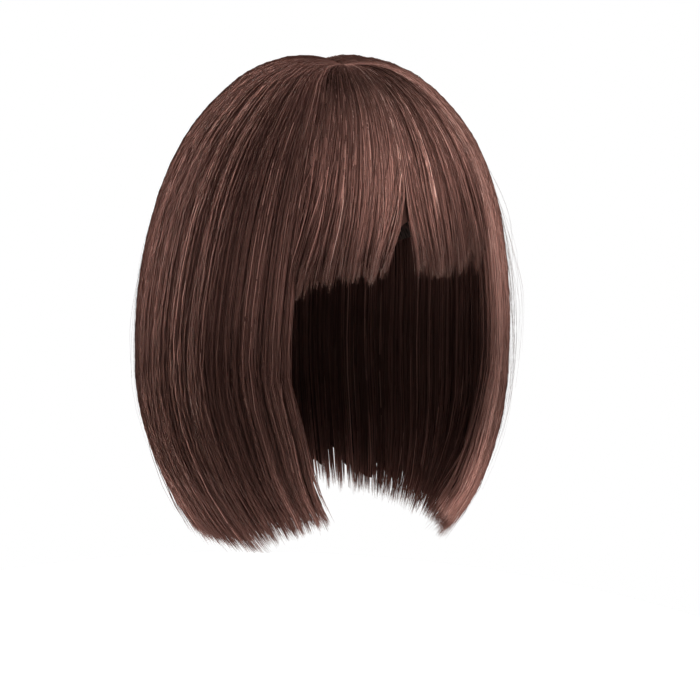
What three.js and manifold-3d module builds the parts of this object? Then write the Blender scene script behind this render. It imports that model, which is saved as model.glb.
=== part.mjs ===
// A short straight bob wig with a full fringe: a close cap and four sections of hair that fall from a short
// parting on the crown. Millimetres, +Z up. The face looks along -Y, so the wearer's left is +X. The origin is
// the place inside the cap that rests on the top of the head.

import * as THREE from "three";
import { LoftGeometry } from "three/addons/geometries/LoftGeometry.js";
import { mergeVertices } from "three/addons/utils/BufferGeometryUtils.js";
import Module from "manifold-3d";

const wasm = await Module();
wasm.setup();
const { clamp, degToRad, lerp, smoothstep } = THREE.MathUtils;

// The cap is a dome for a head of about 530 mm round, cut lower at the nape than over the forehead
const CAP = { halfWidth: 76, halfLength: 91, height: 98, roundness: 2.5, wall: 1.5, setBack: 2 };
const CAP_RIM = { front: -48, nape: -125 };
const CAP_STEPS = { around: 32, down: 7 };
const SEAT_GAP = 0.35;

// The outer form of the hair. Each level is two half ellipses, one to the front and one to the back. The four
// highest dip behind, where the parting runs out over the back of the crown.
const FORM = [
  { level: "parting", z: 8.5, halfWidth: 1.5, front: 13, back: 26, behindZ: 8 },
  { level: "crest", z: 11, halfWidth: 13, front: 24, back: 32, behindZ: 8 },
  { level: "crown", z: 10.5, halfWidth: 29, front: 37, back: 40, behindZ: 6.5 },
  { level: "crown edge", z: 2.5, halfWidth: 48, front: 55, back: 54.5, behindZ: 1.5 },
  { level: "upper dome", z: -10, halfWidth: 62.5, front: 71, back: 69 },
  { level: "lower dome", z: -28.5, halfWidth: 78, front: 85, back: 85 },
  { level: "temple", z: -56, halfWidth: 92, front: 95, back: 101.5 },
  { level: "brow", z: -98, halfWidth: 103, front: 101, back: 116 },
  { level: "cheek", z: -152, halfWidth: 108, front: 105, back: 121 },
  { level: "mouth", z: -194, halfWidth: 105, front: 104, back: 115.5 },
  { level: "jaw", z: -222, halfWidth: 96, front: 99, back: 102 },
  { level: "hem", z: -242, halfWidth: 85.5, front: 90.5, back: 87.5 },
  { level: "tips", z: -254, halfWidth: 78, front: 82, back: 76 },
  { level: "lowest tips", z: -273, halfWidth: 65, front: 69, back: 60 },
];

// The parting slants to the wearer's left as it goes back. Its slant fades out below the crown, and the dip
// behind it is narrow.
const PARTING = { slant: 0.158, front: -13, fadeFrom: 12, fadeTo: 60, dipPower: 8 };

// Angles run from the middle of the fringe towards the wearer's left, in degrees
const FACE_EDGE = { brow: 36.5, hem: 30, curlFrom: -145, curlTo: -198 };

// The hair is a backing wall under a row of locks, thick at the crown and thin at the hem
const WALL = { face: 3.3, crown: 19, sides: 11, hem: 7.5, sidesFrom: -20, sidesTo: -100 };
const FRINGE_WALL = 6.5;

// A lock across: how far to the side, as a share of its half width, and how deep below its crest
const LOCK_SECTION = [
  { aside: 1, below: 4 },
  { aside: 0.55, below: 1.1 },
  { aside: 0, below: 0 },
  { aside: -0.55, below: 1.1 },
  { aside: -1, below: 4 },
  { aside: 0, below: 6 },
];
const LOCK = { overlap: 1.22, root: 3, rootDepth: 4.5, rootCrest: 1.4, fullFrom: 45 };

// Places along the hair, closer together at the crown and the hem
const STATIONS = [0, 7, 17, 30, 46, 66, 92, 122, 160, 205, 245, 278];

// How low the locks reach: the fringe by its own angles, the rest by the angle to either side of its middle
const FRINGE_TIPS = [
  { angle: -38, z: -108 },
  { angle: -24, z: -99.5 },
  { angle: -10, z: -95.5 },
  { angle: 38, z: -95.5 },
];
const HAIR_TIPS = [
  { angle: 30, z: -246 },
  { angle: 44, z: -257 },
  { angle: 58, z: -264 },
  { angle: 100, z: -264 },
  { angle: 180, z: -260 },
];

// How far each lock of a panel ends above these heights, taken in turn
const TIP_STEPS = [0, 4, 1, 6, 2, 3, 5];

// Each panel: its angles, its locks, how far its locks hang below the wall, and how long their points are
const PANELS = [
  { name: "fringe", from: -36.5, to: 36.5, locks: 9, across: 10, tips: FRINGE_TIPS, hang: 26, point: 9, uneven: 0.5 },
  { name: "hair_right", from: -125, to: -36.5, locks: 8, across: 9, tips: HAIR_TIPS, hang: 14, point: 14, uneven: 1 },
  { name: "hair_left", from: 36.5, to: 125, locks: 8, across: 9, tips: HAIR_TIPS, hang: 14, point: 14, uneven: 1 },
  { name: "hair_back", from: 125, to: 235, locks: 10, across: 11, tips: HAIR_TIPS, hang: 14, point: 14, uneven: 1 },
];
const PANEL_GAP = 1;
const FRINGE_GAP = { angle: -1.5, spread: 4, reach: 32 };

// The rows of the form become one smooth curve, measured down the side of the head from the parting
const columns = FORM.map(({ z, halfWidth, front, back, behindZ = z }) => [z, halfWidth, front, back, behindZ]);
const rowLengths = [0];
for (let i = 1; i < FORM.length; i++) {
  const fall = Math.hypot(FORM[i].halfWidth - FORM[i - 1].halfWidth, FORM[i].z - FORM[i - 1].z);
  rowLengths.push(rowLengths[i - 1] + fall);
}
const formCurve = new THREE.CubicInterpolant(rowLengths, columns.flat(), 5);

function levelAt(length) {
  const [z, halfWidth, front, back, behindZ] = formCurve.evaluate(length);
  return { z, halfWidth, front, back, behindZ };
}

function lengthAtHeight(z) {
  let [low, high] = [rowLengths[2], rowLengths.at(-1)];
  for (let i = 0; i < 40; i++) {
    const middle = (low + high) / 2;
    if (levelAt(middle).z > z) low = middle;
    else high = middle;
  }
  return low;
}

function outerPoint(angle, length) {
  const { z, halfWidth, front, back, behindZ } = levelAt(length);
  const turn = degToRad(angle);
  const y = -Math.cos(turn) * (Math.cos(turn) > 0 ? front : back);
  const fade = 1 - smoothstep(length, PARTING.fadeFrom, PARTING.fadeTo);
  const aside = PARTING.slant * (y - PARTING.front) * fade;
  const dip = Math.max(0, -Math.cos(turn)) ** PARTING.dipPower;
  return new THREE.Vector3(halfWidth * Math.sin(turn) + aside, y, lerp(z, behindZ, dip));
}

// A point in the hair, so deep below the outer form
function hairPoint(angle, length, depth) {
  const across = outerPoint(angle + 0.5, length).sub(outerPoint(angle - 0.5, length));
  const along = outerPoint(angle, length + 1).sub(outerPoint(angle, Math.max(length - 1, 0)));
  const outward = along.cross(across).normalize();
  return outerPoint(angle, length).addScaledVector(outward, -depth);
}

// How many millimetres one degree spans at this place
function spanPerDegree(angle, length) {
  return outerPoint(angle + 0.5, length).distanceTo(outerPoint(angle - 0.5, length));
}

// The edges beside the face turn in towards the neck below the cheek
function edgeAngle(angle, length) {
  if (Math.abs(Math.abs(angle) - FACE_EDGE.brow) > 1) return angle;
  const curl = smoothstep(-levelAt(length).z, -FACE_EDGE.curlFrom, -FACE_EDGE.curlTo);
  return Math.sign(angle) * lerp(FACE_EDGE.brow, FACE_EDGE.hem, curl);
}

function panelAngle(panel, share, length) {
  const start = edgeAngle(panel.from, length);
  const end = edgeAngle(panel.to, length);
  const startGap = PANEL_GAP / 2 / spanPerDegree(start, length);
  const endGap = PANEL_GAP / 2 / spanPerDegree(end, length);
  return lerp(start + Math.min(startGap, 12), end - Math.min(endGap, 12), share);
}

function wallDepth(panel, length) {
  const { z } = levelAt(length);
  const sides = smoothstep(-z, -WALL.sidesFrom, -WALL.sidesTo);
  const hem = smoothstep(-z, -WALL.sidesTo, 240);
  const depth = lerp(lerp(WALL.crown, WALL.sides, sides), WALL.hem, hem);
  return panel.name === "fringe" ? lerp(WALL.crown, FRINGE_WALL, smoothstep(-z, 0, 62)) : depth;
}

// How far down the hair the tips of a panel lie at this angle
function tipLength(panel, angle) {
  const aside = panel.name === "fringe" ? angle : Math.min(Math.abs(angle), 360 - Math.abs(angle));
  const next = Math.max(1, panel.tips.findIndex((row) => row.angle >= aside));
  const [above, below] = [panel.tips[next - 1], panel.tips[next]];
  const share = clamp((aside - above.angle) / (below.angle - above.angle), 0, 1);
  return lengthAtHeight(lerp(above.z, below.z, share));
}

// The wall and the locks over it share these places, from the parting to the wall's hem
function stationsAt(panel, angle) {
  const shortest = Math.min(...panel.tips.map((row) => lengthAtHeight(row.z))) - panel.hang;
  const hem = tipLength(panel, angle) - panel.hang;
  return [...STATIONS.filter((length) => length < shortest - 6), hem];
}

function solidFrom(loft) {
  const geometry = new THREE.BufferGeometry();
  geometry.setIndex(loft.getIndex());
  geometry.setAttribute("position", loft.getAttribute("position"));
  const merged = mergeVertices(geometry, 1e-3);
  const corners = merged.index.array;
  const kept = [];
  for (let i = 0; i < corners.length; i += 3) {
    const [a, b, c] = corners.subarray(i, i + 3);
    if (a !== b && b !== c && c !== a) kept.push(a, b, c);
  }
  const vertProperties = new Float32Array(merged.getAttribute("position").array);
  const mesh = new wasm.Mesh({ numProp: 3, vertProperties, triVerts: new Uint32Array(kept) });
  return new wasm.Manifold(mesh);
}

// Cap

function capRing(share, grow) {
  const ring = [];
  for (let i = 0; i < CAP_STEPS.around; i++) {
    const turn = (-2 * Math.PI * i) / CAP_STEPS.around;
    const rim = lerp(CAP_RIM.front, CAP_RIM.nape, (1 - Math.cos(turn)) / 2);
    const z = grow + (rim - grow) * share ** 2.2;
    const rise = Math.max(0, (CAP.height + z) / (CAP.height + grow));
    const girth = Math.max(0, 1 - rise ** CAP.roundness) ** (1 / CAP.roundness);
    const x = (CAP.halfWidth + grow) * girth * Math.sin(turn);
    const y = CAP.setBack - (CAP.halfLength + grow) * girth * Math.cos(turn);
    ring.push(new THREE.Vector3(x, y, z));
  }
  return ring;
}

function capSolid() {
  const sections = [];
  for (let i = 0; i <= CAP_STEPS.down; i++) sections.push(capRing(i / CAP_STEPS.down, CAP.wall));
  for (let i = CAP_STEPS.down; i >= 0; i--) sections.push(capRing(i / CAP_STEPS.down, 0));
  return solidFrom(new LoftGeometry(sections));
}

// The room that the cap needs, carried straight down so that no hair reaches under its rim
function capRoom() {
  const grow = CAP.wall + SEAT_GAP;
  const sections = [];
  for (let i = 0; i <= CAP_STEPS.down; i++) sections.push(capRing(i / CAP_STEPS.down, grow));
  const rim = sections.at(-1);
  sections.push(rim.map(({ x, y }) => new THREE.Vector3(x, y, -150)));
  sections.push(rim.map(() => new THREE.Vector3(0, CAP.setBack, -150)));
  return solidFrom(new LoftGeometry(sections));
}

// Hair

function backingWall(panel) {
  const count = stationsAt(panel, 0).length;
  const sections = [];
  for (let i = 0; i < count; i++) {
    const outer = [];
    const inner = [];
    for (let j = 0; j <= panel.across; j++) {
      const share = j / panel.across;
      const length = stationsAt(panel, lerp(panel.from, panel.to, share))[i];
      const angle = panelAngle(panel, share, length);
      const closed = i === 0 || i === count - 1;
      outer.unshift(hairPoint(angle, length, WALL.face));
      inner.push(hairPoint(angle, length, closed ? WALL.face : wallDepth(panel, length)));
    }
    sections.push([...outer, ...inner]);
  }
  return solidFrom(new LoftGeometry(sections));
}

// Locks beside the gap in the fringe lean away from it towards their tips
function leanOf(panel, angle, above) {
  if (panel.name !== "fringe") return 0;
  const away = angle - FRINGE_GAP.angle;
  const near = Math.exp(-((away / 9) ** 2));
  return Math.sign(away) * near * FRINGE_GAP.spread * smoothstep(-above, -FRINGE_GAP.reach, 0);
}

function lock(panel, index) {
  const share = (index + 0.5) / panel.locks;
  const middle = lerp(panel.from, panel.to, share);
  const tip = tipLength(panel, middle) - panel.uneven * TIP_STEPS[index % TIP_STEPS.length];
  const lengths = [LOCK.root, ...stationsAt(panel, middle).slice(1), tip - panel.point / 2, tip];
  const sections = lengths.map((length, i) => {
    const first = panelAngle(panel, 0, length);
    const last = panelAngle(panel, 1, length);
    const centre = panelAngle(panel, share, length) + leanOf(panel, middle, tip - length);
    const fullness = Math.sqrt(1 - smoothstep(length, tip - panel.point, tip));
    const half = i === 0 ? 0 : ((last - first) / panel.locks / 2) * LOCK.overlap * fullness;
    const rise = smoothstep(length, LOCK.root, LOCK.fullFrom);
    const crest = i === 0 ? LOCK.rootDepth : lerp(LOCK.rootCrest, 0, rise);
    const thickness = half > 0 ? lerp(0.6, 1, rise) : 0;
    return LOCK_SECTION.map(({ aside, below }) => {
      const angle = clamp(centre + aside * half, first, last);
      return hairPoint(angle, length, crest + below * thickness);
    });
  });
  return solidFrom(new LoftGeometry(sections));
}

// The outer skin is kept, so any sliver closed in between the locks and the wall is filled
function hairSolid(panel) {
  let hair = backingWall(panel);
  for (let i = 0; i < panel.locks; i++) hair = hair.add(lock(panel, i));
  const shells = hair.subtract(capRoom()).decompose();
  return shells.sort((a, b) => b.volume() - a.volume())[0];
}

function meshFrom(name, solid, material) {
  const { vertProperties, triVerts, numProp } = solid.getMesh();
  const buffer = new THREE.InterleavedBuffer(vertProperties, numProp);
  const geometry = new THREE.BufferGeometry();
  geometry.setAttribute("position", new THREE.InterleavedBufferAttribute(buffer, 3, 0));
  geometry.setIndex(new THREE.BufferAttribute(triVerts, 1));
  const mesh = new THREE.Mesh(geometry.toNonIndexed(), material);
  mesh.geometry.computeVertexNormals();
  mesh.name = name;
  return mesh;
}

const hairMaterial = new THREE.MeshStandardMaterial({ color: 0x4a2f2a, roughness: 0.45 });
const capMaterial = new THREE.MeshStandardMaterial({ color: 0x2b2220, roughness: 0.8 });

const wig = new THREE.Group();
wig.name = "short_wig";
wig.add(meshFrom("cap", capSolid(), capMaterial));
for (const panel of PANELS) wig.add(meshFrom(panel.name, hairSolid(panel), hairMaterial));

export default wig;
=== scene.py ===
# %% [markdown]
# # A short bob wig with a full fringe
# The wig is a close cap with straight fibre sewn to it. Its plain solids, a cap and four sections
# of hair, come from a CAD file and are loaded first. Everything made below sits in the same place
# and the same units as they do: metres, with +Z up and the fringe at the front, towards -Y.

# %% Load the plain solids
import math

import bmesh
import bpy
import numpy as np
from mathutils import Matrix, Vector


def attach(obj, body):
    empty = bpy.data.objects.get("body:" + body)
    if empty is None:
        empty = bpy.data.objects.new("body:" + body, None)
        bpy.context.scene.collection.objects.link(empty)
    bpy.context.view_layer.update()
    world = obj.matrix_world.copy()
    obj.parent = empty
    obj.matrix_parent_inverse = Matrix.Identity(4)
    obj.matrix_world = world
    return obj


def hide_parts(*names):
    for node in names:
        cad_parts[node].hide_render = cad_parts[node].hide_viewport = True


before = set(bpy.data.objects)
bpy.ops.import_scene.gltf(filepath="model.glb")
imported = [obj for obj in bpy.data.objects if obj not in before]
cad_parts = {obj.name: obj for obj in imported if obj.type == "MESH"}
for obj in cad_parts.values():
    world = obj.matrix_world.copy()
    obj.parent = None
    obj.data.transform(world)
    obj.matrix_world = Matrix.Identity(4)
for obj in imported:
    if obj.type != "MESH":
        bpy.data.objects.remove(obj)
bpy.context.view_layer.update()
MM = 0.001
print("solids:", ", ".join(sorted(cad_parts)))

# %% [markdown]
# ## The camera
# A camera can be aimed by eye, but here the photograph's outline was measured, so the view is
# stated in numbers: how far the camera is turned and lifted, its roll, and where the middle of the
# hair falls in a picture of 700 by 700 pixels. The aim is then turned a little so that this point
# lands on that pixel.

# %% Place the camera
VIEW = {"turn": -26.5, "lift": 12.0, "roll": 2.5, "distance": 1.4, "pixels_per_metre": 1739.0}
LOOK_AT = Vector((0.0, 0.0, -0.120))
LOOK_AT_PIXEL = (326.9, 287.5)
PICTURE = 700
SENSOR_WIDTH = 36.0

turn, lift = math.radians(VIEW["turn"]), math.radians(VIEW["lift"])
towards = Vector((math.sin(turn) * math.cos(lift), -math.cos(turn) * math.cos(lift), math.sin(lift)))
level_right = Vector((math.cos(turn), math.sin(turn), 0.0))
roll = math.radians(VIEW["roll"])
right = level_right * math.cos(roll) + towards.cross(level_right) * math.sin(roll)
focal_pixels = VIEW["pixels_per_metre"] * VIEW["distance"]
aside = (PICTURE / 2 - LOOK_AT_PIXEL[0]) / focal_pixels
below = (PICTURE / 2 - LOOK_AT_PIXEL[1]) / focal_pixels
aim = (-towards + right * aside - towards.cross(right) * below).normalized()
right = (right - aim * right.dot(aim)).normalized()
upward = right.cross(aim)

camera_data = bpy.data.cameras.new("camera")
camera_data.sensor_width = SENSOR_WIDTH
camera_data.lens = focal_pixels * SENSOR_WIDTH / PICTURE
camera = bpy.data.objects.new("camera", camera_data)
bpy.context.scene.collection.objects.link(camera)
camera.matrix_world = Matrix(
    (
        (right.x, upward.x, -aim.x, LOOK_AT.x + towards.x * VIEW["distance"]),
        (right.y, upward.y, -aim.y, LOOK_AT.y + towards.y * VIEW["distance"]),
        (right.z, upward.z, -aim.z, LOOK_AT.z + towards.z * VIEW["distance"]),
        (0, 0, 0, 1),
    )
)
bpy.context.scene.camera = camera
print("camera lens", round(camera_data.lens, 1), "mm")

# %% [markdown]
# ## The studio
# The photograph has a plain white room and soft light. A pale floor under a white sky gives that,
# and seven large lamps shape the hair: a key and two low ones in front, which reach in under the
# fringe, a rim lamp on each side, and two behind, which brighten the edge of the outline and the
# The sky looks white to the camera but shines less on the hair, as a bright wall far behind the wig would.

# %% Make the floor
FLOOR = {"height": -0.42, "radius": 0.42, "segments": 96, "colour": (0.86, 0.86, 0.86), "roughness": 0.9}


def plain_material(name, colour, roughness):
    material = bpy.data.materials.new(name)
    material.use_nodes = True
    shader = material.node_tree.nodes["Principled BSDF"]
    shader.inputs["Base Color"].default_value = (*colour, 1.0)
    shader.inputs["Roughness"].default_value = roughness
    return material


def object_from_bmesh(name, bm, material):
    mesh = bpy.data.meshes.new(name)
    bm.to_mesh(mesh)
    bm.free()
    mesh.materials.append(material)
    piece = bpy.data.objects.new(name, mesh)
    bpy.context.scene.collection.objects.link(piece)
    return piece


bm = bmesh.new()
bmesh.ops.create_circle(bm, cap_ends=True, segments=FLOOR["segments"], radius=FLOOR["radius"])
bmesh.ops.translate(bm, verts=bm.verts, vec=(0, 0, FLOOR["height"]))
floor = object_from_bmesh("floor", bm, plain_material("pale_floor", FLOOR["colour"], FLOOR["roughness"]))
print("floor at", FLOOR["height"], "m")

# %% Place the lamps
LAMPS = [
    # name, place and size in metres, watts
    ("key", (0.7, -1.65, 0.55), 1.0, 12.0),
    ("low_right", (0.5, -1.5, -0.3), 0.8, 14.0),
    ("low_left", (-0.9, -1.5, -0.1), 0.8, 4.0),
    ("rim_right", (1.6, 0.3, 0.4), 0.8, 22.0),
    ("rim_left", (-1.2, 0.9, 1.3), 0.8, 19.0),
    ("back_left", (-0.9, 1.65, 0.05), 0.8, 85.0),
    ("back_top", (0.4, 1.2, 1.6), 1.0, 20.0),
]
for name, place, size, watts in LAMPS:
    lamp_data = bpy.data.lights.new(name, "AREA")
    lamp_data.shape = "DISK"
    lamp_data.size = size
    lamp_data.energy = watts
    lamp = bpy.data.objects.new(name, lamp_data)
    lamp.location = place
    lamp.rotation_euler = (LOOK_AT - Vector(place)).to_track_quat("-Z", "Y").to_euler()
    bpy.context.scene.collection.objects.link(lamp)
print("lamps:", len(LAMPS))

# %% Make the sky
WHITE = (1.0, 1.0, 1.0, 1.0)
SKY_SHINE = 0.10
world = bpy.data.worlds.new("white_room")
world.use_nodes = True
sky_nodes, sky_links = world.node_tree.nodes, world.node_tree.links
shine = sky_nodes["Background"]
shine.inputs["Color"].default_value = WHITE
shine.inputs["Strength"].default_value = SKY_SHINE
wall = sky_nodes.new("ShaderNodeBackground")
wall.inputs["Color"].default_value = WHITE
seen = sky_nodes.new("ShaderNodeLightPath")
either = sky_nodes.new("ShaderNodeMixShader")
sky_links.new(seen.outputs["Is Camera Ray"], either.inputs["Fac"])
sky_links.new(shine.outputs["Background"], either.inputs[1])
sky_links.new(wall.outputs["Background"], either.inputs[2])
sky_links.new(either.outputs["Shader"], sky_nodes["World Output"].inputs["Surface"])
bpy.context.scene.world = world
bpy.context.scene.view_settings.view_transform = "Standard"
print("sky shines at", SKY_SHINE)

# %% [markdown]
# ## The form of the hair
# Combed hair lies in a smooth shell over the cap. The shell is described as in the solids: a short
# table of levels from the parting to the tips, each level two half ellipses. A smooth curve runs
# through the rows, and any place in the hair is then named by three numbers: the angle from the
# middle of the fringe, the run down the hair from the parting, and the depth below the shell. The
# helpers work on whole arrays at once. The parting slants a little as it goes back, and the highest
# levels dip behind, where it runs out over the crown.

# %% Describe the shell
LEVELS = np.array(
    [
        # height, half width, front, back, height behind, in millimetres
        (8.5, 0.3, 12.0, 25.0, 8.0),
        (11.0, 13.0, 24.0, 32.0, 8.0),
        (10.5, 29.0, 37.0, 40.0, 6.5),
        (2.5, 48.0, 55.0, 54.5, 1.5),
        (-10.0, 62.5, 71.0, 69.0, -10.0),
        (-28.5, 78.0, 85.0, 85.0, -28.5),
        (-56.0, 92.0, 95.0, 101.5, -56.0),
        (-98.0, 103.0, 101.0, 116.0, -98.0),
        (-152.0, 108.0, 105.0, 121.0, -152.0),
        (-194.0, 105.0, 104.0, 115.5, -194.0),
        (-222.0, 96.0, 99.0, 102.0, -222.0),
        (-242.0, 85.5, 90.5, 87.5, -242.0),
        (-254.0, 78.0, 82.0, 76.0, -254.0),
        (-273.0, 65.0, 69.0, 60.0, -273.0),
    ]
)
PARTING = {"slant": 0.158, "front": -13.0, "fade": (12.0, 60.0), "dip_power": 8}
falls = np.hypot(np.diff(LEVELS[:, 0]), np.diff(LEVELS[:, 1]))
ROW_RUN = np.concatenate([[0.0], np.cumsum(falls)])
ROW_SLOPE = np.gradient(LEVELS, ROW_RUN, axis=0, edge_order=1)
print("longest hair", round(float(ROW_RUN[-1])), "mm")

# %% Find places in the hair
TINY = 1e-9
ANGLE_STEP = 0.5
RUN_STEP = 1.0


def smooth(value, low, high):
    t = np.clip((value - low) / (high - low), 0.0, 1.0)
    return t * t * (3 - 2 * t)


def level_at(run):
    run = np.clip(run, 0.0, ROW_RUN[-1])
    row = np.clip(np.searchsorted(ROW_RUN, run, side="right") - 1, 0, len(ROW_RUN) - 2)
    span = (ROW_RUN[row + 1] - ROW_RUN[row])[..., None]
    t = (run - ROW_RUN[row])[..., None] / span
    start = (1 + 2 * t) * (1 - t) ** 2 * LEVELS[row] + t**2 * (3 - 2 * t) * LEVELS[row + 1]
    bend = t * (1 - t) ** 2 * ROW_SLOPE[row] - t**2 * (1 - t) * ROW_SLOPE[row + 1]
    return start + bend * span


def shell_point(angle, run):
    height, half_width, front, back, behind = np.moveaxis(level_at(run), -1, 0)
    turned = np.radians(angle)
    ahead = np.cos(turned)
    y = -ahead * np.where(ahead > 0, front, back)
    aside = PARTING["slant"] * (y - PARTING["front"]) * (1.0 - smooth(run, *PARTING["fade"]))
    dip = np.maximum(0.0, -ahead) ** PARTING["dip_power"]
    return np.stack([half_width * np.sin(turned) + aside, y, height + (behind - height) * dip], -1)


def unit(vectors):
    return vectors / np.maximum(np.linalg.norm(vectors, axis=-1, keepdims=True), TINY)


def hair_point(angle, run, depth, sideways=0.0):
    across = unit(shell_point(angle + ANGLE_STEP, run) - shell_point(angle - ANGLE_STEP, run))
    along = shell_point(angle, run + RUN_STEP) - shell_point(angle, np.maximum(run - RUN_STEP, 0.0))
    outward = unit(np.cross(along, across))
    depth = np.asarray(depth)[..., None]
    sideways = np.asarray(sideways)[..., None]
    return shell_point(angle, run) - outward * depth + across * sideways


print("end of the parting at the front", shell_point(0.0, np.array(0.0)).round(1), "mm")

# %% Find the run at a height
RUN_STEPS = 700
RUNS = np.linspace(0, ROW_RUN[-1], RUN_STEPS)
RUN_HEIGHTS = level_at(RUNS)[:, 0]
RUN_WIDTHS = level_at(RUNS)[:, 1]
falling = slice(int(np.argmax(RUN_HEIGHTS)), None)
growing = slice(0, int(np.argmax(RUN_WIDTHS)) + 1)


def run_at_height(height):
    return np.interp(-np.asarray(height), -RUN_HEIGHTS[falling], RUNS[falling])


print("run to the widest level", round(float(RUNS[growing][-1])), "mm")

# %% [markdown]
# ## How the hair flows
# On the real wig the front edge of each side turns in towards the tips, and the whole lower edge
# sweeps forward and under. So a strand doesn't keep its angle: `flow` gives the angle at each run
# from the angle at the root. Another short table says how low the hair reaches, and one section,
# the fringe, has a narrow gap with locks leaning away.

# %% Describe the flow
PANELS = {
    # first and last angle of each section of hair, and its number of locks
    "fringe": (-36.5, 36.5, 9),
    "hair_right": (-125.0, -36.5, 8),
    "hair_left": (36.5, 125.0, 8),
    "hair_back": (125.0, 235.0, 10),
}
# each bend in degrees, and the drop below the top, in millimetres, over which it grows
FRONT_TURN = {"degrees": 6.5, "drop": (145.0, 198.0)}
HEM_SWEEP = {
    "degrees": 18.0,
    "start": 165.0,
    "length": 97.0,
    "grows": (36.0, 66.0),
    "fades": (105.0, 170.0),
}
FRONT_FLICK = {"degrees": 7.5, "start": 188.0, "length": 46.0, "fades": (40.0, 70.0)}
FRINGE_GAP = {
    "angle": -0.8,
    "near_spread": 6.0,
    "far_spread": 3.2,
    "width": 12.0,
    "reach": 46.0,
    "curl": 1.3,
}
FRINGE_SWEEP = {"degrees": 3.0, "angles": (4.0, 30.0)}


def from_middle(angle):
    return np.minimum(np.abs(angle), 360.0 - np.abs(angle))


def growing_bend(drop, bend):
    return bend["degrees"] * np.clip((drop - bend["start"]) / bend["length"], 0.0, 1.0) ** 2


def flow(panel, angle, run):
    if panel == "fringe":
        return angle + np.zeros_like(run)
    drop = -level_at(run)[..., 0]
    from_front = from_middle(angle)
    side = np.where((angle > 180.0) | (angle < 0.0), 1.0, -1.0)
    first, last, _ = PANELS["hair_left"]
    to_front = np.clip((last - from_front) / (last - first), 0.0, 1.0)
    turn_in = FRONT_TURN["degrees"] * smooth(drop, *FRONT_TURN["drop"]) * to_front
    swept = smooth(from_front, *HEM_SWEEP["grows"]) * (1.0 - smooth(from_front, *HEM_SWEEP["fades"]))
    sweep = swept * growing_bend(drop, HEM_SWEEP)
    flick = growing_bend(drop, FRONT_FLICK) * (1.0 - smooth(from_front, *FRONT_FLICK["fades"]))
    return angle + side * (turn_in + sweep + flick)


def fringe_lean(angle, above_tip):
    away = angle - FRINGE_GAP["angle"]
    near = np.exp(-((away / FRINGE_GAP["width"]) ** 2))
    spread = np.where(away > 0, FRINGE_GAP["far_spread"], -FRINGE_GAP["near_spread"]) * near
    sweep = -FRINGE_SWEEP["degrees"] * smooth(-away, *FRINGE_SWEEP["angles"])
    return (spread + sweep) * smooth(-above_tip, -FRINGE_GAP["reach"], 0.0) ** FRINGE_GAP["curl"]


print("sections:", ", ".join(PANELS))

# %% Describe the tips
# angle and height of the tips, in degrees and millimetres
FRINGE_TIPS = np.array([(-38.0, -108.0), (-24.0, -99.5), (-10.0, -95.5), (38.0, -95.5)])
FRINGE_LONGER = 3.0
HEM_HEIGHT = -255.0
HAIR_TIPS = np.array(
    [
        (20.0, -232.0),
        (34.0, -244.0),
        (42.0, -252.0),
        (50.0, -258.5),
        (60.0, -261.5),
        (90.0, -264.0),
        (180.0, -260.0),
    ]
)


def tip_run(panel, angle):
    if panel == "fringe":
        return run_at_height(np.interp(angle, FRINGE_TIPS[:, 0], FRINGE_TIPS[:, 1])) + FRINGE_LONGER
    swept = flow(panel, angle, run_at_height(HEM_HEIGHT))
    return run_at_height(np.interp(from_middle(swept), HAIR_TIPS[:, 0], HAIR_TIPS[:, 1]))


print("hair at the side is", round(float(tip_run("hair_right", np.array(-90.0)))), "mm long")

# %% [markdown]
# ## The fibre
# Wig fibre looks dark from afar, but close up each strand has its own shade, a few are much
# lighter, and a little light passes through it, which warms the shadows between strands. One
# function makes the material of every layer. It reads the strand's UV map, where u is the shade of
# the strand and v is the way along it, so the colour stays with the strand when the wig is turned.
# It keeps the fibre free of gloss, because gloss turned dark strands grey. The streaks are a node group,
# because the backing under the strands uses them too. Along each strand a ramp brightens and darkens the
# colour as painted light and shade.

# %% Make the streak group
STREAK_NOISE = {"detail": 3.0, "lowest": 0.25, "highest": 0.75}


def new_group(name, inputs, outputs):
    group = bpy.data.node_groups.new(name, "ShaderNodeTree")
    for label, kind, value in inputs:
        socket = group.interface.new_socket(label, in_out="INPUT", socket_type=kind)
        if value is not None:
            socket.default_value = value
    for label, kind in outputs:
        group.interface.new_socket(label, in_out="OUTPUT", socket_type=kind)
    return group, group.nodes.new("NodeGroupInput"), group.nodes.new("NodeGroupOutput")


streaks, streak_in, streak_out = new_group(
    "fibre_streaks",
    [
        ("Vector", "NodeSocketVector", None),
        ("Across", "NodeSocketFloat", 90.0),
        ("Along", "NodeSocketFloat", 5.0),
        ("Amount", "NodeSocketFloat", 0.2),
    ],
    [("Factor", "NodeSocketFloat"), ("Height", "NodeSocketFloat")],
)
scale = streaks.nodes.new("ShaderNodeCombineXYZ")
stretch = streaks.nodes.new("ShaderNodeVectorMath")
stretch.operation = "MULTIPLY"
noise = streaks.nodes.new("ShaderNodeTexNoise")
noise.inputs["Scale"].default_value = 1.0
noise.inputs["Detail"].default_value = STREAK_NOISE["detail"]
ranged = streaks.nodes.new("ShaderNodeMapRange")
ranged.inputs["From Min"].default_value = STREAK_NOISE["lowest"]
ranged.inputs["From Max"].default_value = STREAK_NOISE["highest"]
lowest = streaks.nodes.new("ShaderNodeMath")
lowest.operation = "SUBTRACT"
lowest.inputs[0].default_value = 1.0
highest = streaks.nodes.new("ShaderNodeMath")
highest.operation = "ADD"
highest.inputs[0].default_value = 1.0
streaks.links.new(streak_in.outputs["Across"], scale.inputs["X"])
streaks.links.new(streak_in.outputs["Along"], scale.inputs["Y"])
streaks.links.new(streak_in.outputs["Vector"], stretch.inputs[0])
streaks.links.new(scale.outputs["Vector"], stretch.inputs[1])
streaks.links.new(stretch.outputs["Vector"], noise.inputs["Vector"])
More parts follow.
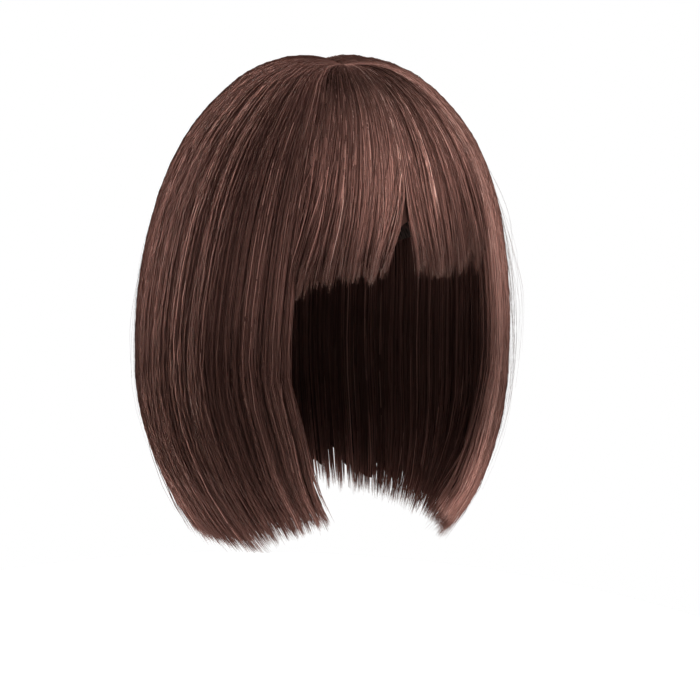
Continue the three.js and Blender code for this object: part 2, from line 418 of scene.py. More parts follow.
streaks.links.new(noise.outputs["Fac"], ranged.inputs["Value"])
streaks.links.new(streak_in.outputs["Amount"], lowest.inputs[1])
streaks.links.new(streak_in.outputs["Amount"], highest.inputs[1])
streaks.links.new(lowest.outputs["Value"], ranged.inputs["To Min"])
streaks.links.new(highest.outputs["Value"], ranged.inputs["To Max"])
streaks.links.new(ranged.outputs["Result"], streak_out.inputs["Factor"])
streaks.links.new(noise.outputs["Fac"], streak_out.inputs["Height"])
print("group:", streaks.name)

# %% Choose the shades of the fibre
FIBRE_SHADES = [
    # place on the ramp, colour
    (0.0, (0.025, 0.0118, 0.0096)),
    (0.30, (0.080, 0.037, 0.030)),
    (0.55, (0.153, 0.073, 0.059)),
    (0.80, (0.285, 0.144, 0.117)),
    (1.0, (0.500, 0.300, 0.252)),
]
LONG_HAIR_PAINTED_LIGHT_ALONG = [
    # way from root to tip, brightness as painted light and shade
    (0.0, 1.25),
    (0.10, 1.35),
    (0.20, 1.10),
    (0.30, 1.08),
    (0.46, 1.28),
    (0.58, 1.08),
    (0.68, 0.68),
    (0.84, 0.74),
    (0.93, 1.40),
    (1.0, 1.70),
]
FRINGE_PAINTED_LIGHT_ALONG = [
    # way from root to tip, brightness as painted light and shade: dark near the root, light in the middle
    # where light shows through the thin fringe
    (0.0, 0.85),
    (0.12, 0.57),
    (0.28, 0.47),
    (0.42, 1.15),
    (0.55, 1.68),
    (0.72, 2.00),
    (0.86, 1.50),
    (0.94, 0.92),
    (1.0, 0.70),
]
# painted shade: past its root the backing is darker than the hair
BACKING_PAINTED_SHADE = [(0.0, 1.10), (0.12, 0.60), (1.0, 0.60)]
print("shades:", len(FIBRE_SHADES))

# %% Make the fibre materials
SCATTER = {"weight": 0.35, "radius": (0.60, 0.46, 0.41), "scale": 0.2 * MM}
ROUGHNESS_RANGE = 0.06
GLOSS = 0.0
FIBRES = {
    # material: streaks across and along, their strength, painted light and shade from root to tip,
    # roughness
    "long_fibre": (70.0, 6.0, 0.17, LONG_HAIR_PAINTED_LIGHT_ALONG, 0.42),
    "fringe_fibre": (70.0, 4.0, 0.26, FRINGE_PAINTED_LIGHT_ALONG, 0.42),
    "backing_fibre": (260.0, 4.0, 0.5, BACKING_PAINTED_SHADE, 0.55),
}


def set_ramp(node, stops):
    elements = node.color_ramp.elements
    elements[0].color, elements[-1].color = stops[0][1], stops[-1][1]
    for place, colour in stops[1:-1]:
        elements.new(place).color = colour


def fibre_material(name, across, along, amount, painted_light_ramp, roughness):
    material = bpy.data.materials.new(name)
    material.use_nodes = True
    nodes, links = material.node_tree.nodes, material.node_tree.links
    shader = nodes["Principled BSDF"]
    shader.inputs["Specular IOR Level"].default_value = GLOSS
    shader.inputs["Subsurface Weight"].default_value = SCATTER["weight"]
    shader.inputs["Subsurface Radius"].default_value = SCATTER["radius"]
    shader.inputs["Subsurface Scale"].default_value = SCATTER["scale"]
    own_map = nodes.new("ShaderNodeUVMap")
    own_map.uv_map = "OFBake"
    split = nodes.new("ShaderNodeSeparateXYZ")
    ramp = nodes.new("ShaderNodeValToRGB")
    ramp.color_ramp.interpolation = "EASE"
    set_ramp(ramp, [(place, (*colour, 1.0)) for place, colour in FIBRE_SHADES])
    streak = nodes.new("ShaderNodeGroup")
    streak.node_tree = streaks
    streak.inputs["Across"].default_value = across
    streak.inputs["Along"].default_value = along
    streak.inputs["Amount"].default_value = amount
    # painted light and shade along the strand, read from v
    fade = nodes.new("ShaderNodeValToRGB")
    set_ramp(fade, [(place, (light, light, light, 1.0)) for place, light in painted_light_ramp])
    weight = nodes.new("ShaderNodeMath")
    weight.operation = "MULTIPLY"
    tint = nodes.new("ShaderNodeVectorMath")
    tint.operation = "SCALE"
    rough = nodes.new("ShaderNodeMapRange")
    rough.inputs["To Min"].default_value = roughness + ROUGHNESS_RANGE
    rough.inputs["To Max"].default_value = roughness - ROUGHNESS_RANGE
    links.new(own_map.outputs["UV"], split.inputs["Vector"])
    links.new(own_map.outputs["UV"], streak.inputs["Vector"])
    links.new(split.outputs["X"], ramp.inputs["Fac"])
    links.new(split.outputs["Y"], fade.inputs["Fac"])
    links.new(streak.outputs["Factor"], weight.inputs[0])
    links.new(fade.outputs["Color"], weight.inputs[1])
    links.new(ramp.outputs["Color"], tint.inputs[0])
    links.new(weight.outputs["Value"], tint.inputs["Scale"])
    links.new(tint.outputs["Vector"], shader.inputs["Base Color"])
    links.new(streak.outputs["Height"], rough.inputs["Value"])
    links.new(rough.outputs["Result"], shader.inputs["Roughness"])
    return material


long_fibre, fringe_fibre, backing_fibre = (fibre_material(name, *values) for name, values in FIBRES.items())
print("materials:", ", ".join(FIBRES))

# %% [markdown]
# ## Turning paths into strands
# Blender has a hair system, but an exported model needs real faces. Each strand here is a slim tube
# of three sides that tapers to its tip. Thousands of them are joined into one mesh from arrays,
# which is far quicker than adding them one by one. The third side keeps every strand closed, so the
# mesh is a true solid from any side.

# %% Lay the shades along the strands
SIDES = 3
SHADE_WIDTH = 0.012


def strand_uv(mesh, shades, count, stations):
    shade, length = shades
    around = SHADE_WIDTH * (2 * np.arange(SIDES + 1) / SIDES - 1)
    u = np.clip(shade, SHADE_WIDTH, 1.0 - SHADE_WIDTH)[:, None, None] + around
    u = np.broadcast_to(u, (count, stations, SIDES + 1))
    v = np.broadcast_to(length[..., None], (count, stations, SIDES + 1))
    uv = np.stack([u, v], -1)
    low, high = uv[:, :-1], uv[:, 1:]
    walls = np.stack([low[:, :, :-1], low[:, :, 1:], high[:, :, 1:], high[:, :, :-1]], 3)
    ends = [uv[:, 0, SIDES - 1 :: -1], uv[:, -1, :SIDES]]
    flat = np.concatenate([walls.reshape(-1, 2), ends[0].reshape(-1, 2), ends[1].reshape(-1, 2)])
    layer = mesh.uv_layers.new(name="OFBake")
    layer.data.foreach_set("uv", flat.astype(np.float32).ravel())


print("sides of a strand:", SIDES)

# %% Join the strands into a mesh
STRAND_SECTION = {"turn": 0.25, "wide": 1.15, "flat": 0.85}
STRAND_AXIS = {"set_back": 2.0, "highest": -60.0}


def strand_piece(name, paths, radii, shades, material):
    count, stations, _ = paths.shape
    along = unit(np.gradient(paths, axis=1))
    axis = np.zeros_like(paths)
    axis[..., 1] = STRAND_AXIS["set_back"]
    axis[..., 2] = np.minimum(paths[..., 2], STRAND_AXIS["highest"])
    outward = unit(paths - axis)
    sideways = unit(np.cross(along, outward))
    outward = np.cross(sideways, along)
    corners = []
    for i in range(SIDES):
        turned = 2 * math.pi * (i + STRAND_SECTION["turn"]) / SIDES
        wide = sideways * math.cos(turned) * STRAND_SECTION["wide"]
        flat = outward * math.sin(turned) * STRAND_SECTION["flat"]
        corners.append(paths + (wide + flat) * radii[..., None])
    points = np.stack(corners, 2).reshape(-1, 3) * MM
    ring = np.arange(count * stations * SIDES).reshape(count, stations, SIDES)
    following = np.roll(ring, -1, axis=2)
    walls = np.stack([ring[:, :-1], following[:, :-1], following[:, 1:], ring[:, 1:]], -1).reshape(-1, 4)
    roots = ring[:, 0, ::-1]
    tips = ring[:, -1, :]
    loops = np.concatenate([walls.ravel(), roots.ravel(), tips.ravel()])
    totals = np.concatenate([np.full(len(walls), 4), np.full(2 * count, 3)])
    mesh = bpy.data.meshes.new(name)
    mesh.vertices.add(len(points))
    mesh.vertices.foreach_set("co", points.astype(np.float32).ravel())
    mesh.loops.add(len(loops))
    mesh.loops.foreach_set("vertex_index", loops.astype(np.int32))
    mesh.polygons.add(len(totals))
    mesh.polygons.foreach_set("loop_start", (np.cumsum(totals) - totals).astype(np.int32))
    mesh.polygons.foreach_set("use_smooth", np.ones(len(totals), bool))
    strand_uv(mesh, shades, count, stations)
    mesh.update()
    mesh.validate()
    mesh.materials.append(material)
    piece = bpy.data.objects.new(name, mesh)
    bpy.context.scene.collection.objects.link(piece)
    triangles = int((totals - 2).sum())
    print(f"{name}: {count} strands, {triangles} triangles")
    return piece


print("section of a strand:", STRAND_SECTION)

# %% [markdown]
# ## Combing the hair
# Loose strands at random look like fur. Combed hair gathers: strands lean towards the middle of a
# fine point, points lie in wisps and tufts, and these in locks, and most of it grows stronger
# towards the tips, while a little drift keeps them from lying perfectly parallel. Each step below
# draws its random numbers from a seeded generator, so the wig is the same every time. `hair`
# holds the arrays of one section, with a row for each strand.

# %% Gather the strands
LOCK_UNEVENNESS = 0.2
CLUSTERS = {
    # kind of cluster: degrees that one takes up, how uneven their borders are
    "tuft": (1.9, 0.45),
    "wisp": (1.1, 0.45),
    "point": (0.42, 0.45),
}


def cells(seed, shares, count, jitter):
    rng = np.random.default_rng(seed)
    edges = (np.arange(count + 1) + jitter * rng.uniform(-1, 1, count + 1)) / count
    edges[0], edges[-1] = 0.0, 1.0
    index = np.clip(np.searchsorted(edges, shares, side="right") - 1, 0, count - 1)
    middle = (edges[index] + edges[index + 1]) / 2
    edge = np.abs(shares - middle) / (edges[index + 1] - edges[index]) * 2
    return {"count": count, "index": index, "middle": middle, "edge": edge}


def gather(panel, share, seed):
    first, last, locks = PANELS[panel]
    groups = {"lock": cells(seed + 1, share, locks, LOCK_UNEVENNESS)}
    for i, (kind, (degrees, jitter)) in enumerate(CLUSTERS.items()):
        groups[kind] = cells(seed + 2 + i, share, int((last - first) / degrees), jitter)
    return groups


def varied(rng, group, spread):
    return rng.normal(0, spread, group["count"])[group["index"]]


print("clusters:", ", ".join(CLUSTERS))

# %% Choose the lengths
LONG_STYLE = {
    "point_short": 3.0,
    "tuft_short": 1.4,
    "strand_short": 1.6,
    "gathered": 0.5,
    "shade_spread": 0.058,
}
FRINGE_STYLE = {
    "point_short": 4.6,
    "tuft_short": 3.6,
    "strand_short": 3.0,
    "gathered": 0.25,
    "shade_spread": 0.07,
}
# how far tips fall short, in millimetres, and the share of strands that fall shorter
TIPS = {
    "beyond": 6.0,
    "lock_short": 3.0,
    "wisp_short": 2.6,
    "short_share": 0.3,
    "short_by": 11.0,
    "most": 40.0,
}
FRINGE_TRIM = {"all": 2.0, "far": 4.0, "far_angles": (8.0, 32.0), "gap": 4.0, "gap_width": 5.0}


def style_of(panel):
    return FRINGE_STYLE if panel == "fringe" else LONG_STYLE


def strand_tips(rng, hair, shorter):
    panel, angle, groups = hair["panel"], hair["angle"], hair["groups"]
    style = style_of(panel)
    count, lock = len(angle), groups["lock"]
    tip = tip_run(panel, angle) + TIPS["beyond"]
    tip = tip - rng.uniform(0, TIPS["lock_short"], lock["count"])[lock["index"]]
    tip = tip - np.abs(varied(rng, groups["wisp"], TIPS["wisp_short"]))
    tip = tip - np.abs(varied(rng, groups["point"], style["point_short"]))
    tip = tip - np.abs(varied(rng, groups["tuft"], style["tuft_short"]))
    short = rng.uniform(0, 1, count) < TIPS["short_share"]
    uneven = np.where(short, TIPS["short_by"], style["strand_short"])
    tip = tip - np.minimum(rng.exponential(uneven), TIPS["most"]) - shorter * rng.uniform(0, 1, count)
    if panel == "fringe":
        beside_gap = np.exp(-(((angle - FRINGE_GAP["angle"]) / FRINGE_TRIM["gap_width"]) ** 2))
        tip = tip - FRINGE_TRIM["all"] - FRINGE_TRIM["far"] * smooth(angle, *FRINGE_TRIM["far_angles"])
        tip = tip - FRINGE_TRIM["gap"] * beside_gap
    return tip


print("styles: long hair and fringe")

# %% Place the roots
ROOTS = {"crowding": 1.25, "station_shift": (0.94, 1.06)}


def strand_runs(rng, tip, stations, roots):
    count = len(tip)
    widths = np.interp(roots, RUNS, RUN_WIDTHS)
    root_width = widths[0] + (widths[1] - widths[0]) * rng.uniform(0, 1, count) ** ROOTS["crowding"]
    root = np.interp(root_width, RUN_WIDTHS[growing], RUNS[growing])
    way = stations[None, :] ** rng.uniform(*ROOTS["station_shift"], count)[:, None]
    run = root[:, None] + (tip - root)[:, None] * way
    return {"root": root, "way": way, "run": run, "above_tip": tip[:, None] - run, "grown": run / tip.max()}


print("crowding of the roots", ROOTS["crowding"])

# %% Pull the strands together
CROWN_TUFTS = {"strength": 0.4, "contrast": 1.5, "starts": (6.0, 26.0), "ends": (30.0, 90.0)}
WISP_PULL = {"strength": 0.25, "grown": (0.4, 1.0)}
POINT_PULL = (-90.0, -5.0)
LOCK_PULL = {"strength": 0.12, "grown": (0.6, 1.0)}
MINGLING = {"degrees": 2.2, "edge": 2.5, "ends": (70.0, 120.0)}


def tuft_strength(rng, hair):
    tuft, run = hair["groups"]["tuft"], hair["run"]
    pull = rng.uniform(0, 1, tuft["count"])[tuft["index"]][:, None] ** CROWN_TUFTS["contrast"]
    starts = smooth(run, *CROWN_TUFTS["starts"])
    return CROWN_TUFTS["strength"] * pull * starts * (1.0 - smooth(run, *CROWN_TUFTS["ends"]))


def strand_angles(rng, hair):
    panel, share, angle, run = hair["panel"], hair["share"], hair["angle"], hair["run"]
    first, last, _ = PANELS[panel]
    wide = last - first
    strengths = {
        "tuft": hair["at_crown"],
        "wisp": WISP_PULL["strength"] * smooth(hair["grown"], *WISP_PULL["grown"]),
        "point": style_of(panel)["gathered"] * smooth(-hair["above_tip"], *POINT_PULL),
        "lock": LOCK_PULL["strength"] * smooth(hair["grown"], *LOCK_PULL["grown"]),
    }
    pull = sum((hair["groups"][kind]["middle"] - share)[:, None] * strengths[kind] for kind in strengths)
    from_edge = np.minimum(share, 1.0 - share) * wide
    at_edge = np.exp(-((from_edge / MINGLING["edge"]) ** 2))
    mingled = rng.normal(0, MINGLING["degrees"], len(share)) * at_edge
    pull = pull + (mingled / wide)[:, None] * (1.0 - smooth(run, *MINGLING["ends"]))
    bent = flow(panel, angle[:, None] + wide * pull, run)
    if panel == "fringe":
        bent = bent + fringe_lean(angle[:, None], hair["above_tip"])
    return bent


print("pulled together: tufts, wisps, points and locks")

# %% Let the strands drift
STRAY = {"share": 0.12, "far": 2.4, "near": 0.3, "wisp": 0.9, "point": 0.7, "grown": (0.12, 1.0)}
CLEAR_OF_GAP = {"degrees": 6.0, "drift": 0.6}
RIPPLE = {"height": 0.2, "length": (22, 45), "grown": (0.05, 0.4)}


def strand_drift(rng, hair):
    angle, run, groups = hair["angle"], hair["run"], hair["groups"]
    count = len(angle)
    stray = np.where(rng.uniform(0, 1, count) < STRAY["share"], STRAY["far"], STRAY["near"])
    drift = varied(rng, groups["wisp"], STRAY["wisp"]) + varied(rng, groups["point"], STRAY["point"])
    drift = drift + rng.normal(0, stray)
    if hair["panel"] == "fringe":
        away = angle - FRINGE_GAP["angle"]
        cleared = np.sign(away) * np.abs(drift) * CLEAR_OF_GAP["drift"]
        drift = np.where(np.abs(away) < CLEAR_OF_GAP["degrees"], cleared, drift)
    drift = drift[:, None] * smooth(hair["grown"], *STRAY["grown"])
    phase = rng.uniform(0, 2 * math.pi, (2, count, 1))
    ripple = RIPPLE["height"] * np.sin(run / rng.uniform(*RIPPLE["length"], (count, 1)) + phase[0])
    return drift + ripple * smooth(hair["grown"], *RIPPLE["grown"]), phase[1]


print("strands that stray:", STRAY["share"])

# %% Layer the strands
WAVE = {"height": 0.15, "length": 31.0}
LOCK_GROOVE = {"depth": 1.0, "run": (25.0, 90.0)}
WISP_GROOVE = {"depth": 0.4, "grown": (0.3, 0.8)}
TUFT_GROOVE = 1.6
BURIED_ROOT = {"from_run": 8.0, "depth": 2.2, "length": 24.0}
FRINGE_TUCK = {"depth": 1.8, "angles": (29.0, 36.0), "run": (90.0, 150.0)}
LOOSE_TIPS = {"length": 60.0, "out": -0.9, "in": 1.6}
SHALLOWEST = 0.1
PARTING_RISE = {"height": 0.6, "run": 14.0}


def strand_depth(rng, hair, depths, phase):
    run, grown, groups = hair["run"], hair["grown"], hair["groups"]
    count = len(run)
    depth = rng.uniform(*depths, count)[:, None] + WAVE["height"] * np.sin(run / WAVE["length"] + phase)
    lock_edge, wisp_edge, tuft_edge = (groups[kind]["edge"][:, None] for kind in ("lock", "wisp", "tuft"))
    depth = depth + LOCK_GROOVE["depth"] * lock_edge**2 * smooth(run, *LOCK_GROOVE["run"])
    depth = depth + WISP_GROOVE["depth"] * wisp_edge**2 * smooth(grown, *WISP_GROOVE["grown"])
    depth = depth + TUFT_GROOVE * tuft_edge**3 * hair["at_crown"]
    root = hair["root"][:, None]
    sunk = np.where(root > BURIED_ROOT["from_run"], BURIED_ROOT["depth"], 0.0)
    depth = depth + sunk * (1.0 - smooth(run - root, 0.0, BURIED_ROOT["length"]))
    if hair["panel"] == "fringe":
        tucked = FRINGE_TUCK["depth"] * smooth(np.abs(hair["angle"]), *FRINGE_TUCK["angles"])
        depth = depth + tucked[:, None] * smooth(run, *FRINGE_TUCK["run"])
    loose = rng.exponential(1.0, (count, 1)) * smooth(-hair["above_tip"], -LOOSE_TIPS["length"], 0.0)
    depth = np.maximum(depth, SHALLOWEST)
    depth = depth + loose * rng.choice([LOOSE_TIPS["out"], LOOSE_TIPS["in"]], (count, 1))
    return depth - (depth + PARTING_RISE["height"]) * (1.0 - smooth(run, 0.0, PARTING_RISE["run"]))


print("layers: locks, wisps and tufts")

# %% Choose the shades and the painted light
LOCK_PAINTED_LIGHT_AND_SHADE = {
    # how much lighter each lock is, from the first angle of its section to the last: painted light at the
    # lit edges of the outline, painted shade on the near side
    "hair_right": (0.12, 0.14, 0.08, 0.0, 0.0, 0.03, -0.05, -0.02),
    "hair_back": (0.0, 0.0, 0.0, 0.0, 0.0, 0.0, 0.0, 0.04, 0.08, 0.11),
    "hair_left": (0.36, 0.31, 0.14, 0.0, 0.0, 0.0, 0.0, 0.0),
}
MIDDLE_SHADE = 0.36
SHADE_SPREAD = {"lock": 0.02, "wisp": 0.03, "tuft": 0.025}
# painted light: the fringe and the front edges of the sides are lighter
FRONT_PAINTED_LIGHT = {"lighter": 0.09, "angles": (37.0, 52.0)}
# painted shade: the front edge of the far side is darker beside the fringe
FAR_EDGE_PAINTED_SHADE = {"darker": 0.24, "angles": (37.0, 40.5)}
# painted light in the middle of the fringe, where light shows through it, and painted shade at its ends
FRINGE_PAINTED_LIGHT_AND_SHADE = {"lighter": 0.12, "angle": -9.0, "width": 13.0, "darker": 0.09, "edges": (20.0, 34.0)}
# pale strands are the fibre's own lighter strands; in the fringe they are partly a painted highlight
PALE_STRAND = (0.12, 0.42)
SHADE_LIMITS = (0.02, 0.98)


def strand_tone_and_painted_light(rng, hair, pale):
    panel, angle, groups = hair["panel"], hair["angle"], hair["groups"]
    count, locks = len(angle), groups["lock"]["count"]
    shade = MIDDLE_SHADE + rng.normal(0, style_of(panel)["shade_spread"], count)
    shade = shade + varied(rng, groups["lock"], SHADE_SPREAD["lock"])
    # painted light and shade, lock by lock
    if panel in LOCK_PAINTED_LIGHT_AND_SHADE:
        shade = shade + np.interp(hair["share"] * locks - 0.5, np.arange(locks), LOCK_PAINTED_LIGHT_AND_SHADE[panel])
    shade = shade + varied(rng, groups["wisp"], SHADE_SPREAD["wisp"])
    shade = shade + varied(rng, groups["tuft"], SHADE_SPREAD["tuft"])
    # painted light towards the front
    shade = shade + FRONT_PAINTED_LIGHT["lighter"] * (1.0 - smooth(from_middle(angle), *FRONT_PAINTED_LIGHT["angles"]))
    # painted shade at the front edge of the far side
    if panel == "hair_left":
        shade = shade - FAR_EDGE_PAINTED_SHADE["darker"] * (1.0 - smooth(angle, *FAR_EDGE_PAINTED_SHADE["angles"]))
    # painted light in the middle of the fringe and painted shade at its ends
    if panel == "fringe":
        from_light = (angle - FRINGE_PAINTED_LIGHT_AND_SHADE["angle"]) / FRINGE_PAINTED_LIGHT_AND_SHADE["width"]
        shade = shade + FRINGE_PAINTED_LIGHT_AND_SHADE["lighter"] * np.exp(-(from_light**2))
        shade = shade - FRINGE_PAINTED_LIGHT_AND_SHADE["darker"] * smooth(np.abs(angle), *FRINGE_PAINTED_LIGHT_AND_SHADE["edges"])
    is_pale = rng.uniform(0, 1, count) < pale
    shade = shade + np.where(is_pale, rng.uniform(*PALE_STRAND, count), 0.0)
    return np.clip(shade, *SHADE_LIMITS)


print("locks with tones of their own:", sum(len(tones) for tones in LOCK_PAINTED_LIGHT_AND_SHADE.values()))

# %% Comb one section
STRAND_RADIUS = (0.16, 0.28)
USUAL_PALE = 0.06
TAPER = {"root": 0.5, "root_way": 0.08, "tip": 0.88, "tip_length": 20.0}


def comb(panel, count, seed, depths, stations, roots, radius=STRAND_RADIUS, shorter=0.0, pale=USUAL_PALE):
    rng = np.random.default_rng(seed)
    first, last, _ = PANELS[panel]
    share = np.sort(rng.uniform(0, 1, count))
    hair = {"panel": panel, "share": share, "angle": first + (last - first) * share}
    hair["groups"] = gather(panel, share, seed)
    tip = strand_tips(rng, hair, shorter)
    hair.update(strand_runs(rng, tip, stations, roots))
    hair["at_crown"] = tuft_strength(rng, hair)
    bent = strand_angles(rng, hair)
    aside, phase = strand_drift(rng, hair)
    depth = strand_depth(rng, hair, depths, phase)
    paths = hair_point(bent, hair["run"], depth, aside)

    thick = rng.uniform(*radius, count)[:, None]
    root_taper = TAPER["root"] + (1.0 - TAPER["root"]) * smooth(hair["way"], 0.0, TAPER["root_way"])
    tip_taper = 1.0 - TAPER["tip"] * smooth(-hair["above_tip"], -TAPER["tip_length"], 0.0)
    shade = strand_tone_and_painted_light(rng, hair, pale)
    return paths, thick * root_taper * tip_taper, (shade, hair["run"] / tip[:, None])


print("radius of a strand", STRAND_RADIUS, "mm")

# %% [markdown]
# ## The outer hair
# This is what shows in the photograph.

# %% Make the outer strands
# places along a strand, closer together near its two ends
LONG_STATIONS = np.array([0, 2, 5, 9, 14, 20, 28, 38, 49, 60, 70, 79, 87, 94, 100]) / 100
SHORT_STATIONS = np.array([0, 4, 9, 16, 25, 36, 48, 60, 72, 83, 92, 100]) / 100
OUTER_DEPTHS = (0.2, 2.2)
OUTER_ROOTS = (0.0, 90.0)
OUTER = {
    # section: number of strands, seed, stations, share of pale strands
    "hair_right": (2300, 110, LONG_STATIONS, 0.05),
    "hair_left": (2050, 120, LONG_STATIONS, 0.06),
    "hair_back": (2050, 130, LONG_STATIONS, 0.05),
    # the fringe's larger share of pale strands is partly a painted highlight
    "fringe": (2750, 140, SHORT_STATIONS, 0.2),
}
for panel, (count, seed, stations, pale) in OUTER.items():
    outer = comb(panel, count, seed, OUTER_DEPTHS, stations, OUTER_ROOTS, pale=pale)
    piece = strand_piece(panel + "_strands", *outer, fringe_fibre if panel == "fringe" else long_fibre)
    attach(piece, "root")
    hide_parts(panel)

# %% [markdown]
# ## Loose hairs
# No wig is combed perfectly: a few fine hairs stand off the surface, farthest at the front of the
# far side. Without them the outline would look moulded.

# %% Make the loose hairs
LOOSE = [
    # section, number, first and last angle, farthest they stand off
    ("hair_left", 34, (38.0, 75.0), 9.0),
    ("hair_left", 24, (75.0, 125.0), 3.5),
    ("hair_right", 40, (-124.0, -40.0), 3.0),
    ("hair_back", 40, (126.0, 234.0), 3.5),
]
LOOSE_STATIONS = 12
LOOSE_SEED = 300
LOOSE_HAIR = {
    "root": (100, 190),
    "length": (60, 170),
    "radius": (0.06, 0.11),
    "shade": (0.3, 0.6),
    "depth": 0.6,
}
LOOSE_PATH = {"wander": 0.8, "end_gap": 2.0, "lift": (0.15, 1.0), "lifted": (0.0, 0.7), "falls": (0.6, 1.0)}
LOOSE_FALL = 0.5
LOOSE_TAPER = 0.6


def loose_hairs(panel, count, angles, stands_off, seed):
    rng = np.random.default_rng(seed)
    way = np.linspace(0, 1, LOOSE_STATIONS)[None, :]
    angle = rng.uniform(*angles, count)[:, None]
    root = rng.uniform(*LOOSE_HAIR["root"], count)[:, None]
    run = root + rng.uniform(*LOOSE_HAIR["length"], count)[:, None] * way
    run = np.minimum(run, tip_run(panel, angle) - LOOSE_PATH["end_gap"] * (1 - way))
    wander = np.cumsum(rng.normal(0, LOOSE_PATH["wander"], (count, LOOSE_STATIONS)), axis=1)
    lift = rng.uniform(*LOOSE_PATH["lift"], count)[:, None] * stands_off
    lift = lift * smooth(way, *LOOSE_PATH["lifted"])
    lift = lift * (1.0 - LOOSE_FALL * rng.uniform(0, 1, (count, 1)) * smooth(way, *LOOSE_PATH["falls"]))
    paths = hair_point(flow(panel, angle, run), run, LOOSE_HAIR["depth"] - lift, wander)
    radii = rng.uniform(*LOOSE_HAIR["radius"], count)[:, None] * (1.0 - LOOSE_TAPER * way)
    return paths, radii, (rng.uniform(*LOOSE_HAIR["shade"], count), np.broadcast_to(way, run.shape))


paths, radii, shades, ways = [], [], [], []
for i, row in enumerate(LOOSE):
    path, radius, (shade, way) = loose_hairs(*row, seed=LOOSE_SEED + i)
    paths.append(path)
    radii.append(radius)
    shades.append(shade)
    ways.append(way)
loose = strand_piece(
    "loose_hairs",
    np.concatenate(paths),
    np.concatenate(radii),
    (np.concatenate(shades), np.concatenate(ways)),
    long_fibre,
)
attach(loose, "root")

# %% [markdown]
# ## The hair underneath
# Under the outer layer lies more hair, sewn lower on the cap. It fills the lower edge and is what one sees
# when looking in from below. A thin dark backing between the two layers stops light from passing through
# the parting; its dark colour is painted shade.

# %% Make the under layer
UNDER_STATIONS = np.array([0, 8, 18, 30, 44, 58, 71, 83, 93, 100]) / 100
UNDER_RADIUS = (0.24, 0.38)
UNDER_SHORTER = 4.0
UNDER = {
    # section: strands, seed, shallow and deep limits, highest and lowest roots
    "hair_right": (620, 210, (3.5, 8.5), (92.0, 166.0)),
    "hair_left": (620, 220, (3.5, 8.5), (92.0, 166.0)),
    "hair_back": (760, 230, (3.5, 8.5), (92.0, 190.0)),
    "fringe": (420, 240, (3.0, 5.0), (30.0, 90.0)),
}
for panel, (count, seed, depths, roots) in UNDER.items():
    under = comb(panel, count, seed, depths, UNDER_STATIONS, roots, UNDER_RADIUS, shorter=UNDER_SHORTER)
    piece = strand_piece(panel + "_under", *under, fringe_fibre if panel == "fringe" else long_fibre)
    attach(piece, "root")

# %% Make the backing
BACKING = {
    "hem_above_tips": (9.0, 26.0),
    "depth": 3.2,
    "thickness": 1.2,
    "columns": 48,
    "rows": 30,
    "seed": 31,
}
BACKING_AT_GAP = {"raised": 16.0, "width": 5.0}
BACKING_AT_PARTING = {"raised": 1.2, "run": 20.0}
BACKING_SHADES = {"first": 0.25, "spread": 0.2}
ROW_CROWDING = 1.3


def backing_piece(panel):
    first, last, _ = PANELS[panel]
    rng = np.random.default_rng(BACKING["seed"])
    columns = BACKING["columns"]
    above = rng.uniform(*BACKING["hem_above_tips"], columns + 1)
    if panel == "fringe":
        away = np.linspace(first, last, columns + 1) - FRINGE_GAP["angle"]
        above = above + BACKING_AT_GAP["raised"] * np.exp(-((away / BACKING_AT_GAP["width"]) ** 2))
    bm = bmesh.new()
    bmesh.ops.create_grid(bm, x_segments=columns, y_segments=BACKING["rows"], size=1.0)
    layer = bm.loops.layers.uv.new("OFBake")
    shares = {v: ((v.co.x + 1) / 2, ((v.co.y + 1) / 2) ** ROW_CROWDING) for v in bm.verts}
    for face in bm.faces:
        for loop in face.loops:
            across, along = shares[loop.vert]
            loop[layer].uv = (BACKING_SHADES["first"] + BACKING_SHADES["spread"] * across, along)
    for vert, (across, along) in shares.items():
        angle = first + (last - first) * across
        run = (tip_run(panel, angle) - above[round(across * columns)]) * along
        angle = flow(panel, np.array(angle), np.array(run))
        rise = BACKING_AT_PARTING["raised"] * (1 - smooth(run, 0.0, BACKING_AT_PARTING["run"]))
        vert.co = Vector(hair_point(angle, np.array(run), np.array(BACKING["depth"] - rise))) * MM
    bmesh.ops.recalc_face_normals(bm, faces=bm.faces)
    bmesh.ops.solidify(bm, geom=bm.faces[:], thickness=BACKING["thickness"] * MM)
    for face in bm.faces:
        face.smooth = True
    return object_from_bmesh(panel + "_backing", bm, backing_fibre)


for panel in PANELS:
    piece = backing_piece(panel)
    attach(piece, "root")
    print(piece.name, len(piece.data.polygons), "faces")

# %% [markdown]
# ## The cap
# The cap holds everything but hardly shows. It is a dome of fine net with rows of stitches, and it
# reaches lower at the back than at the front. The dome starts as a sphere whose lower half is cut
# away, and each point is then moved out to the cap's shape.

# %% Shape the cap
CAP = {
    "half_width": 76.0,
    "half_length": 91.0,
    "height": 98.0,
    "roundness": 2.5,
    "wall": 1.5,
    "set_back": 2.0,
}
CAP_RIM = {"front": -48.0, "back": -125.0, "crowding": 2.2}


def cap_point(turned, share, grow):
    rim = CAP_RIM["front"] + (CAP_RIM["back"] - CAP_RIM["front"]) * (1 - math.cos(turned)) / 2
    height = grow + (rim - grow) * share ** CAP_RIM["crowding"]
    rise = max(0.0, (CAP["height"] + height) / (CAP["height"] + grow))
    girth = max(0.0, 1 - rise ** CAP["roundness"]) ** (1 / CAP["roundness"])
    x = (CAP["half_width"] + grow) * girth * math.sin(turned)
    y = CAP["set_back"] - (CAP["half_length"] + grow) * girth * math.cos(turned)
    return Vector((x, y, height)) * MM


print("top of the cap", cap_point(0.0, 0.0, CAP["wall"]))

